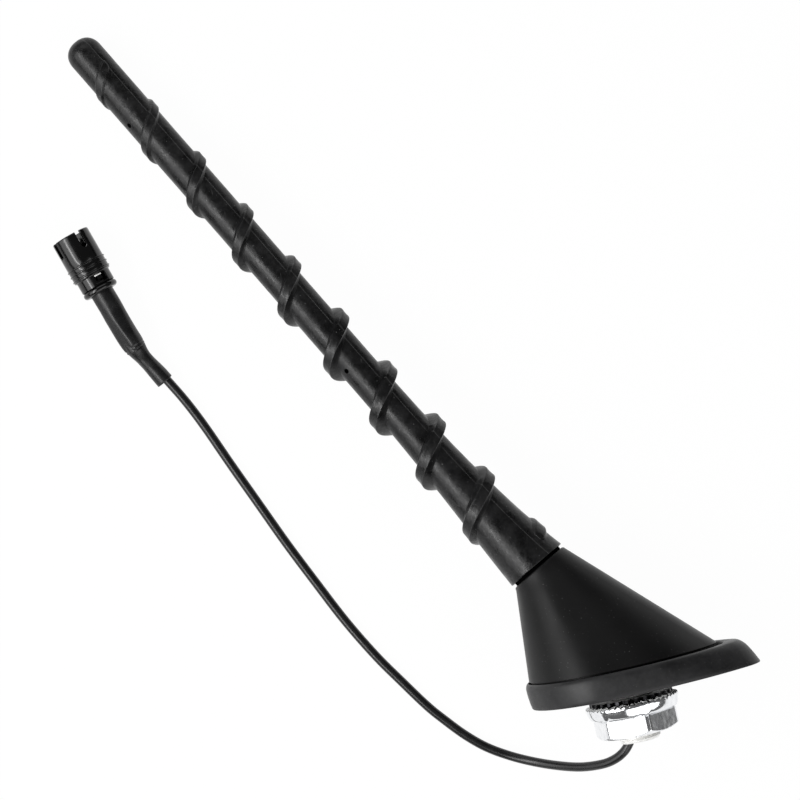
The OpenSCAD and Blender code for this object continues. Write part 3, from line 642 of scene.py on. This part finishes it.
# A parting line, FLASH high, runs up the sheath at the angle PARTING, and another one opposite it
PARTING, FLASH, FLASH_TURN = math.radians(-51), 0.06, math.radians(1.3)
# The limp sheath has set off its axis by BOW, nearly two thirds of it at BOW_H, and BOW_TIP more at the tip
BOW, BOW_H, BOW_TIP = 1.6, 17.0, 0.35
FERRULE_R, FERRULE_LEN = 5.08, 18.1
# How far round, in degrees, and how high the two pin holes are
PINS, PIN_R, PIN_DEPTH = [(-131, 192.7), (-120, 86.4)], 0.8, 2.4


def mast_radius(z):
    """The sheath's radius at height z: the flare of the foot is part of a large circle."""
    return TIP_R if z >= FLARE_H else TIP_R + FLARE_R - math.sqrt(FLARE_R ** 2 - (FLARE_H - z) ** 2)


def rib_crest(z):
    """The radius that the rib reaches at height z."""
    t = (z - RIB_START) / (RIB_END - RIB_START)
    return (FOOT_R + 0.05) * (1 - t) + (TIP_R + 0.45) * t


def bow(z):
    """How far the limp sheath has set off its axis at height z."""
    return -BOW * (1 - math.exp(-z / BOW_H)) - BOW_TIP * (z / MAST_LEN) ** 2


def mast_core():
    """The sheath without its rib: the ferrule's bore, the flared foot, the parting lines and pin holes."""
    half = 48
    angles = []
    for start in (PARTING, PARTING + math.pi):
        angles += [start, start + FLASH_TURN]
        between_lines = math.pi - 2 * FLASH_TURN
        angles += [start + FLASH_TURN + between_lines * k / (half - 2) for k in range(1, half - 1)]
    # flash raises the parting lines, and also marks them lighter in the finish: partly rubbed flash, partly
    # a painted highlight
    flash = [1.0 if k % half == 0 else 0.0 for k in range(2 * half)]

    def ring(r, z, proud=FLASH):
        """Points round the sheath. With proud 0 they are a plain circle on the axis, as in the bore."""
        aside = bow(z) if proud else 0
        return [((r + proud * f) * math.cos(a) + aside, (r + proud * f) * math.sin(a), z)
                for a, f in zip(angles, flash)]

    skin = Loft("mast_core", 2 * half, along_mast)
    skin.to(ring(FERRULE_R, FERRULE_LEN, 0)).to(ring(FERRULE_R, 0.0, 0))
    skin.to(ring(FOOT_R - FOOT_ROUND, 0.0, 0))
    for k in range(1, 6):
        a = math.pi / 2 * k / 5
        skin.to(ring(FOOT_R - FOOT_ROUND * (1 - math.sin(a)), FOOT_ROUND * (1 - math.cos(a))), flash)
    for k in range(1, 41):
        z = FOOT_ROUND + (FLARE_H - FOOT_ROUND) * k / 40
        skin.to(ring(mast_radius(z), z), flash)
    for k in range(1, 41):
        skin.to(ring(TIP_R, FLARE_H + (MAST_LEN - TIP_H - FLARE_H) * k / 40), flash)
    for k in range(1, 13):
        a = math.pi / 2 * k / 12.4
        skin.to(ring(TIP_R * math.cos(a) ** 0.8, MAST_LEN - TIP_H + TIP_H * math.sin(a)), flash)
    core = skin.finish()
    around = turns_of(16)
    for turn, z in PINS:
        pin = Loft("pin", len(around), along_mast @ Matrix.Translation(Vector((bow(z), 0, z)) * MM)
                   @ turn_by(turn) @ Matrix.Rotation(math.pi / 2, 4, "Y"))
        pin.to(circle(PIN_R - 0.2, TIP_R - PIN_DEPTH, around))
        pin.to(circle(PIN_R, TIP_R - PIN_DEPTH + 0.3, around)).to(circle(PIN_R + 0.05, TIP_R + 2, around))
        cut(core, pin.finish())
    return core


def mast_rib():
    """The spiral rib: a square-edged section extruded along its turns, with blunt ends.

    The section is in shares of the rib's width and height. A turn's mark is 1 on a parting line.
    """
    edge = 0.262
    half = [(-0.56, -0.2), (-0.5, 0.03), (-0.44, 0.17), (-0.375, 0.45), (-0.32, 0.74), (-0.285, 0.92),
            (-edge, 0.995), (-0.235, 1.0), (-0.12, 0.97)]
    section = half + [(0.0, 0.96)] + [(-s, h) for s, h in reversed(half)] + [(0.35, -1.0), (-0.35, -1.0)]
    # The crest's edges carry a painted glint, stronger on the lower edge
    edges = [(0.9 if s < 0 else 0.5) if abs(s) == edge else 0.0 for s, h in section]
    across = [1.0 if h > 0.5 else 0.0 for s, h in section]
    uniform = int(RIB_TURNS * 40)
    turns = [(RIB_TURNS * k / uniform, 0.0) for k in range(uniform + 1)]
    for end, way in ((0.0, 1), (RIB_TURNS, -1)):
        turns = [t for t in turns if abs(t[0] - end) > RIB_FADE]
        turns += [(end + way * RIB_FADE * (1 - math.cos(math.pi / 2 * k / 7)), 0.0) for k in range(8)]
    narrow = 0.0035
    for m in range(int(2 * RIB_TURNS) + 2):
        mark = m / 2 + (PARTING - RIB_CLOCK) / (2 * math.pi)
        if RIB_FADE + 0.01 < mark < RIB_TURNS - RIB_FADE - 0.01:
            turns = [t for t in turns if abs(t[0] - mark) > 2 * narrow]
            turns += [(mark - narrow, 0.0), (mark, 1.0), (mark + narrow, 0.0)]
    skin = Loft("mast_rib", len(section), along_mast)
    for turn, flash in sorted(turns):
        z = RIB_START + RIB_PITCH * turn
        grow = min(1.0, min(turn, RIB_TURNS - turn) / RIB_FADE)
        swell = math.sqrt(max(0.0, 1 - (1 - grow) ** 2))
        a = 2 * math.pi * turn + RIB_CLOCK
        proud = (rib_crest(z) - mast_radius(z)) * swell
        width = RIB_FOOT_W + (RIB_TIP_W - RIB_FOOT_W) * turn / RIB_TURNS
        points = []
        for s, h in section:
            zz = z + s * width * (0.5 + 0.5 * swell)
            core = mast_radius(zz)
            if h > 0:
                r = core - 0.1 + (h * (proud + 0.1) + flash * FLASH)
            else:
                r = max(core - 0.1 + h, core - 0.9)
            points.append((r * math.cos(a) + bow(zz), r * math.sin(a), zz))
        # The lighter marks: painted glints on the crest's edges, and the parting lines, partly rubbed flash
        # and partly a painted highlight
        skin.to(points, [max(e, c * flash) * swell for e, c in zip(edges, across)])
    return skin.finish()


mast_skin = mast_core()
rib = mast_rib()
activate(mast_skin)
rib.select_set(True)
bpy.ops.object.join()
mast_skin.name = mast_skin.data.name = "mast_skin"
settle(mast_skin, "mast", "mast_rubber", mast_rubber, "mast_sheath", smooth=48)


# Base, drawn upright with its gasket's underside at height 0
GASKET_H, GASKET_SEAT, SEAL_T = 8.3, 4.0, 1.0
RIM_REAR, RIM_NOSE_X, RIM_NOSE_R, RIM_SLOPE = (-4.9, 26.5), 31.8, 11.0, 5.6
COVER_REAR, COVER_NOSE = (-6.2, 24.4), (19.9, 11.0)
OPEN_REAR, OPEN_NOSE = (-5.5, 20.0), (12.0, 15.0)
COVER_WALL, COVER_TOP_R, EDGE_R, SOCKET_R = 2.0, 10.3, 0.8, 4.58
EGG_COUNT = 160
EGG_ANGLES = [2 * math.pi * (k + 0.5) / EGG_COUNT - math.pi for k in range(EGG_COUNT)]


def egg(rear, nose, z, grow=0.0):
    """Points at height z on an egg outline: a rear arc (x, r), a nose arc (x, r) and flat side arcs."""
    side = ((nose[0] - rear[0]) ** 2 + rear[1] ** 2 - nose[1] ** 2) / (2 * (rear[1] - nose[1]))
    turn = math.atan2(side - rear[1], nose[0] - rear[0])
    points = []
    for a in EGG_ANGLES:
        if abs(a) < turn:
            x, y, r = nose[0], 0.0, nose[1]
        elif abs(a) < math.pi / 2:
            x, y, r = rear[0], math.copysign(side - rear[1], -a), side
        else:
            x, y, r = rear[0], 0.0, rear[1]
        points.append((x + (r + grow) * math.cos(a), y + (r + grow) * math.sin(a), z))
    return points


def top_ring(r, z):
    """Points round the cover's top, square to the mast."""
    c, s = math.cos(LEAN), math.sin(LEAN)
    return [(FOOT.x - z * s + r * math.cos(a) * c, r * math.sin(a), FOOT.z + z * c + r * math.cos(a) * s)
            for a in EGG_ANGLES]


def between(low, high, t):
    """The ring at a share t of the way from a low ring to a high one."""
    return [tuple(a + (b - a) * t for a, b in zip(p, q)) for p, q in zip(low, high)]


def cover_shell():
    """The leaning cover: a wall from its round top to its egg-shaped foot, stepped in at the gasket."""
    def foot(z, grow=0.0):
        return egg(COVER_REAR, COVER_NOSE, z, grow)

    skin = Loft("cover_shell", EGG_COUNT, upright)
    inner_top = top_ring(COVER_TOP_R - COVER_WALL, -SEAL_T - COVER_WALL)
    inner_low = foot(GASKET_H, -COVER_WALL)
    skin.to(top_ring(SOCKET_R, -SEAL_T - COVER_WALL)).to(inner_top)
    for k in range(1, 5):
        skin.to(between(inner_top, inner_low, k / 4))
    skin.to(foot(GASKET_SEAT, -COVER_WALL)).to(foot(GASKET_SEAT, -0.8)).to(foot(GASKET_H + 0.2, -0.8))
    low, high, first = foot(GASKET_H), top_ring(COVER_TOP_R, -SEAL_T - EDGE_R), 0.013
    for k in range(13):
        skin.to(between(low, high, first + (1 - first) * k / 12))
    for k in range(1, 7):
        a = math.pi / 2 * k / 6
        skin.to(top_ring(COVER_TOP_R - EDGE_R * (1 - math.cos(a)), -SEAL_T - EDGE_R * (1 - math.sin(a))))
    skin.to(top_ring(SOCKET_R, -SEAL_T))
    return skin.finish(joined=True)


def gasket_rim():
    """The gasket: a groove under it, a swelling side, a rounded lip and a deep gap round the cover."""
    def rim(t, z, grow):
        """The outer side, whose nose is drawn in by a share t of RIM_SLOPE."""
        return egg(RIM_REAR, (RIM_NOSE_X - RIM_SLOPE * t, RIM_NOSE_R), z, grow)

    def pocket(z, grow):
        """The gap round the cover, which narrows to a fifth at the rear where the rim is thin."""
        rear = (COVER_REAR[0] + 0.55 * grow, COVER_REAR[1] - 0.25 * grow)
        return egg(rear, COVER_NOSE, z, grow)

    def opening(z, grow=0.0):
        return egg(OPEN_REAR, OPEN_NOSE, z, grow)

    skin = Loft("gasket_rim", EGG_COUNT, upright)
    groove, wide, deep = 1.6, 1.0, 0.8
    skin.to(opening(GASKET_SEAT)).to(opening(0.3)).to(opening(0.0, 0.3)).to(opening(0.0, groove))
    skin.to(opening(deep, groove + 0.1)).to(opening(deep, groove + wide - 0.1))
    skin.to(opening(0.0, groove + wide))
    skin.to(rim(0, 0, -0.5)).to(rim(0.01, 0.08, -0.2)).to(rim(0.04, 0.4, 0.0))
    for k in range(1, 7):
        t = k / 6
        skin.to(rim(0.04 + 0.66 * t, 0.4 + (GASKET_H - 2.6) * t, 0.6 * math.sin(math.pi / 2 * t)))
    for k in range(1, 8):
        a = math.pi / 2 * k / 8
        inward, up = 1 - math.cos(a), math.sin(a)
        skin.to(rim(0.7 + 0.3 * up, GASKET_H - 2.2 + 2.2 * up, 0.6 - 1.2 * inward))
    skin.to(pocket(GASKET_H, 1.9)).to(pocket(GASKET_H - 0.1, 1.62)).to(pocket(GASKET_H - 0.45, 1.45))
    skin.to(pocket(GASKET_H - 2.8, 1.3)).to(pocket(GASKET_H - 3.2, 1.1)).to(pocket(GASKET_H - 3.4, 0.12))
    skin.to(pocket(GASKET_SEAT, 0.08))
    return skin.finish(joined=True)


settle(cover_shell(), "root", "cover_plastic", cover_plastic, "base_cover", smooth=40)
settle(gasket_rim(), "root", "gasket_rubber", gasket_rubber, "roof_gasket", smooth=45)


# Cast plate with the threaded stud
STUD_R, STUD_PITCH, STUD_LOW = 6.8, 1.5, -16.8


def cast_plate():
    """The cast plate as in the frame, with a thread cut round its stud."""
    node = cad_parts["base_plate"]
    piece = node.copy()
    piece.data = node.data.copy()
    piece.name = piece.data.name = "cast_plate"
    bpy.context.collection.objects.link(piece)
    activate(piece)
    bpy.ops.object.mode_set(mode="EDIT")
    bpy.ops.mesh.select_all(action="SELECT")
    bpy.ops.mesh.remove_doubles(threshold=2e-6)
    bpy.ops.mesh.normals_make_consistent(inside=False)
    bpy.ops.object.mode_set(mode="OBJECT")
    wide = 0.62
    section = [(0.6, -0.95 * wide), (-0.85, -0.1 * wide), (-0.85, 0.1 * wide), (0.6, 0.95 * wide)]
    groove = Loft("groove", len(section), upright)
    start, turns, per_turn = STUD_LOW - STUD_PITCH, 9, 40
    for k in range(turns * per_turn + 1):
        a = 2 * math.pi * k / per_turn
        z = start + STUD_PITCH * k / per_turn
        groove.to([((STUD_R + r) * math.cos(a), (STUD_R + r) * math.sin(a), z + h) for r, h in section])
    return cut(piece, groove.finish())


settle(cast_plate(), "root", "cast_zinc", cast_zinc, "base_plate", smooth=35)


# Mast stud
def threaded_stud(low, high):
    """The mast's stud from height low to high: rings that rise and fall along the thread."""
    pitch, depth, r_top, r_chamfer, r_end = 0.8, 0.49, 2.5, 1.85, 1.6
    around = turns_of(36)
    skin = Loft("threaded_stud", len(around), along_mast)
    rings = int((high - low) / pitch * 10)
    skin.to(circle(r_end, low, around))
    for k in range(rings + 1):
        z = low + (high - low) * k / rings
        inside = max(0.0, min(1.0, (z - low) / pitch, (high - z) / pitch))
        points = []
        for a in around:
            phase = (z / pitch - a / (2 * math.pi)) % 1
            r = r_top - depth * min(1.0, max(0.0, 1.15 - abs(phase - 0.5) * 2.6))
            if inside < 1:
                r = min(r, r_chamfer + (r_top - r_chamfer) * inside)
            points.append((r * math.cos(a), r * math.sin(a), z))
        skin.to(points)
    skin.to(circle(r_end, high, around))
    return skin.finish()


plain_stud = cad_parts["mast_stud"]
heights = [(along_mast.inverted() @ v.co).z / MM for v in plain_stud.data.vertices]
settle(threaded_stud(min(heights), max(heights)), "mast", "steel", steel, "mast_stud", smooth=60)


# Flange nut
NUT_AF, HEX_H, FLANGE_R, FLANGE_H, TEETH = 24.0, 6.2, 15.0, 4.8, 42
NUT_BORE_R, FLANGE_Z, NUT_CLOCK = 6.9, -3.38, math.radians(-6.5)
DOME, DOME_R = math.radians(58), 13.1
HEX_Z = FLANGE_Z - FLANGE_H
NUT_LOW = HEX_Z - HEX_H


def flange_nut():
    """The nut: its bore, the hexagon with a chamfered end, and the domed flange with scallops under it."""
    angles = turns_of(TEETH * 12)
    corner = NUT_AF / 2 / math.cos(math.pi / 6)

    def hexagon(a):
        """Distance from the axis to the hexagon's side, with slightly rounded corners."""
        off = abs(a % (math.pi / 3) - math.pi / 6)
        side = NUT_AF / 2 / math.cos(off)
        soft = 0.3 * max(0.0, 1 - (math.pi / 6 - off) / 0.06) ** 2
        return min(side, corner) - soft

    def neck(a):
        return hexagon(a) - 0.12

    def dome_start(a, r=DOME_R):
        return max(r, hexagon(a) + 0.1)

    def scallop(a):
        return abs(math.cos(TEETH / 2 * a)) ** 0.8

    def ring(radius, height):
        """Points round the nut. Its radius and its height are numbers or change with the angle."""
        made = []
        for a in angles:
            r = radius(a) if callable(radius) else radius
            z = height(a) if callable(height) else height
            made.append((r * math.cos(a + NUT_CLOCK), r * math.sin(a + NUT_CLOCK), z))
        return made

    skin = Loft("flange_nut", len(angles), upright)
    skin.to(ring(NUT_BORE_R, FLANGE_Z - 0.4)).to(ring(NUT_BORE_R, NUT_LOW + 0.9))
    skin.to(ring(NUT_BORE_R + 0.85, NUT_LOW + 0.04)).to(ring(NUT_BORE_R + 0.95, NUT_LOW))
    flat_r, chamfer_h = NUT_AF / 2 - 0.6, 1.5
    skin.to(ring(flat_r - 0.25, NUT_LOW))
    for k in range(11):
        t = k / 10
        skin.to(ring(lambda a: min(hexagon(a), flat_r + 2.6 * t ** 0.85), NUT_LOW + chamfer_h * t))
    skin.to(ring(hexagon, HEX_Z - 2.2)).to(ring(hexagon, HEX_Z - 0.25))
    skin.to(ring(neck, HEX_Z - 0.1)).to(ring(neck, HEX_Z + 0.12))
    skin.to(ring(lambda a: dome_start(a, DOME_R + 0.2), HEX_Z + 0.15))
    for k in range(1, 10):
        t = DOME * k / 9
        out, up = math.sin(t) / math.sin(DOME), (1 - math.cos(t)) / (1 - math.cos(DOME))
        skin.to(ring(lambda a: FLANGE_R - 0.05 - (FLANGE_R - 0.15 - dome_start(a)) * (1 - out),
                     HEX_Z + 0.25 + (FLANGE_H - 1.9) * up))
    skin.to(ring(FLANGE_R, FLANGE_Z - 1.5))
    skin.to(ring(lambda a: FLANGE_R - 0.04 * (1 - scallop(a)),
                 lambda a: FLANGE_Z - 1.02 + 0.4 * scallop(a)))
    for inset, low, rise in ((0.12, 0.88, 0.5), (0.4, 0.82, 0.62), (1.4, 0.78, 0.7)):
        skin.to(ring(FLANGE_R - inset, lambda a: FLANGE_Z - low + rise * scallop(a)))
    skin.to(ring(FLANGE_R - 2.2, FLANGE_Z)).to(ring(NUT_BORE_R + 0.4, FLANGE_Z))
    return skin.finish(joined=True)


settle(flange_nut(), "nut", "nut_zinc", nut_zinc, "mounting_nut", smooth=34)

# Finishes of the pieces kept from the frame
KEPT = {
    "mast_rod": glass_fibre, "mast_winding": copper, "mast_ferrule": brass, "mast_seal": seal_rubber_painted_shade,
    "mast_socket": brass, "base_tray": tray_plastic, "circuit_board": board_green, "shield_can": steel,
    "board_screws": steel, "feed_wire": copper, "cable_clip": steel, "tooth_washer": washer_zinc,
    "crimp_ferrule": brass, "lock_tabs": connector_black, "connector_shield": connector_black,
    "connector_insulator": insulator_white, "connector_contact": brass,
}
for name, finish in KEPT.items():
    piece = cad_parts[name]
    piece.data.materials.clear()
    piece.data.materials.append(finish.material)

# Floor, white where the camera and reflections see it, with a soft shadow
FLOOR_GLOW, SHEET_R = 0.975, 0.4
deselect()
bpy.ops.mesh.primitive_plane_add(size=30, location=(0, 0, FLOOR_Z - 0.0002))
floor = bpy.context.object
floor.name = "floor"
white = Finish("white_floor", (0.9, 0.9, 0.9), 0.8, Specular_IOR_Level=0.0)
camera_ray, glossy_ray, clear_ray = (white.node("LightPath", out=f"Is {kind} Ray")
                                     for kind in ("Camera", "Glossy", "Transmission"))
from_middle = white.node("VectorMath", {"operation": "LENGTH"}, out="Value",
                         i0=white.node("TexCoord", out="Object"))
# Past the sheet, which ends SHEET_R from the middle, reflections see no glow
off_sheet = from_middle > SHEET_R
seen = camera_ray | (glossy_ray | clear_ray) * (1.0 - off_sheet)
glow = white.node("Emission", Color=(1, 1, 1), Strength=1.0)
mixed = white.node("MixShader", i0=seen * FLOOR_GLOW, i1=Value(white, white.shader.outputs[0]), i2=glow)
white.tree.links.new(mixed.socket, white.tree.nodes["Material Output"].inputs["Surface"])
floor.data.materials.append(white.material)

# Dim white surroundings and four lamps that point at the antenna
world = bpy.data.worlds.new("studio")
bpy.context.scene.world = world
world.use_nodes = True
background = world.node_tree.nodes["Background"]
background.inputs["Color"].default_value = (1, 1, 1, 1)
background.inputs["Strength"].default_value = 0.12
LAMPS_AIM = Vector((-0.05, 0.1, 0))


def softbox(name, at, width, height, power):
    """A rectangular lamp, with its place and sizes in metres and its power in watts."""
    deselect()
    bpy.ops.object.light_add(type="AREA", location=at)
    lamp = bpy.context.object
    lamp.name = name
    lamp.data.shape = "RECTANGLE"
    lamp.data.size, lamp.data.size_y = width, height
    lamp.data.energy = power
    lamp.rotation_euler = (LAMPS_AIM - Vector(at)).to_track_quat("-Z", "Y").to_euler()


softbox("left_softbox", (-0.74, 0.05, 0.56), 1.1, 0.85, 6.6)
softbox("left_strip", (-0.7, 0.05, 0.68), 1.1, 0.12, 4.2)
softbox("far_softbox", (-0.1, 0.95, 0.5), 0.9, 0.4, 1.6)
softbox("near_softbox", (0.3, -0.62, 0.64), 1.3, 0.8, 6.4)

bpy.context.scene.view_settings.view_transform = "Standard"
